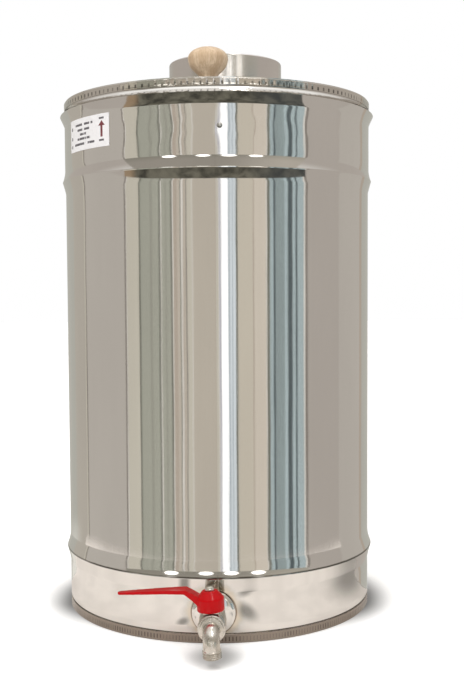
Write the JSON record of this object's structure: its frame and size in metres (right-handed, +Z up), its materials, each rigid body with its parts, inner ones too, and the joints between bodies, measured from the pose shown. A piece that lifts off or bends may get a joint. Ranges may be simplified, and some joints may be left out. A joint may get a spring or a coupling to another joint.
{
  "type": "honey extractor",
  "caption": "Hand-cranked tangential honey extractor: beaded stainless drum with folded rim, half lid with wooden knob, round gear cover, comb cage inside and a lever ball tap low on the wall.",
  "frame": {"origin": "on the drum's axis, at the floor", "axes": "+Z up along the drum, -Y towards the front, where the tap is, +X to the right of someone facing the tap"},
  "size_m": [0.4126, 0.622, 0.716],
  "materials": {
    "polished_stainless": "mirror-polished stainless sheet",
    "satin_stainless": "satin stainless",
    "zinc_fasteners": "bright zinc",
    "ground_steel": "ground bar",
    "cast_gear": "machined, greased",
    "cast_housing": "painted grey casting",
    "bronze_bush": "sintered bronze",
    "zinc_arm": "zinc-plated flat bar",
    "turned_wood": "turned beech, clear lacquer",
    "nickel_plate": "brass with bright nickel plate",
    "chromed_ball": "chromed brass",
    "seat_plastic": "white sealing plastic",
    "seal_rubber": "black seal",
    "red_lever": "glossy red coat",
    "label_film": "printed white film"
  },
  "bodies": {
    "drum": {"bottom_bearing_cup": "satin_stainless", "bottom_bush": "bronze_bush", "bottom_panel": "satin_stainless", "bottom_seam": "polished_stainless", "bracket_bolts": "zinc_fasteners", "crank_bracket": "cast_housing", "crank_inner_bush": "bronze_bush", "crank_outer_bush": "bronze_bush", "crank_pedestal": "cast_housing", "crossbar": "satin_stainless", "crossbar_bolts": "zinc_fasteners", "crossbar_brackets": "satin_stainless", "drum_shell": "polished_stainless", "gear_cover": "polished_stainless", "gear_cover_screws": "zinc_fasteners", "housing_base": "satin_stainless", "housing_bolts": "zinc_fasteners", "lid_clip": "satin_stainless", "pedestal_bolts": "zinc_fasteners", "rating_label": "label_film", "rear_cover": "polished_stainless", "rear_cover_screws": "zinc_fasteners", "rim_ring": "polished_stainless", "rim_rivet": "satin_stainless", "tap_body": "nickel_plate", "tap_escutcheon": "polished_stainless", "tap_packing": "seat_plastic", "tap_packing_nut": "nickel_plate", "tap_seal": "seal_rubber", "tap_seats": "seat_plastic", "tap_socket": "polished_stainless", "tap_spout": "nickel_plate", "thrust_ball": "ground_steel", "upper_bearing_housing": "cast_housing", "upper_bush": "bronze_bush"},
    "rotor": {"rotor_shaft": "ground_steel", "bevel_pinion": "cast_gear", "pinion_pin": "zinc_fasteners", "bottom_spider": "satin_stainless", "top_arm": "satin_stainless", "cage_hoops": "satin_stainless", "cage_posts": "satin_stainless", "comb_guides": "satin_stainless", "comb_screen_front": "satin_stainless", "comb_screen_rear": "satin_stainless"},
    "crank": {"crank_shaft": "ground_steel", "bevel_gear": "cast_gear", "gear_pin": "zinc_fasteners", "crank_arm": "zinc_arm", "crank_nut": "zinc_fasteners", "grip_pin": "ground_steel", "grip_nut": "zinc_fasteners"},
    "grip": {"crank_grip": "turned_wood"},
    "lid": {"front_lid": "polished_stainless", "lid_knob": "turned_wood", "knob_screw": "zinc_fasteners"},
    "tap_lever": {"tap_lever": "red_lever", "tap_stem": "chromed_ball", "tap_ball": "chromed_ball", "lever_nut": "zinc_fasteners"}
  },
  "joints": [
    {"name": "rotor_spin", "type": "hinge", "parent": "drum", "child": "rotor", "pos_m": [0, 0, 0.3], "axis": [0, 0, 1], "continuous": true},
    {"name": "crank_turn", "type": "hinge", "parent": "drum", "child": "crank", "pos_m": [0, 0.1, 0.679], "axis": [0, 1, 0], "continuous": true},
    {"name": "grip_spin", "type": "hinge", "parent": "crank", "child": "grip", "pos_m": [0, 0.272, 0.549], "axis": [0, 1, 0], "continuous": true},
    {"name": "lid_lift", "type": "slide", "parent": "drum", "child": "lid", "axis": [0, 0, 1], "range_m": [0, 0.14]},
    {"name": "tap_turn", "type": "hinge", "parent": "drum", "child": "tap_lever", "pos_m": [0.00194, -0.24699, 0.037], "axis": [-0.0628, -0.0005, 0.998], "range_deg": [0, 90]}
  ],
  "couplings": [
    {"joint": "crank_turn", "follows": "rotor_spin", "ratio": 0.5}
  ]
}
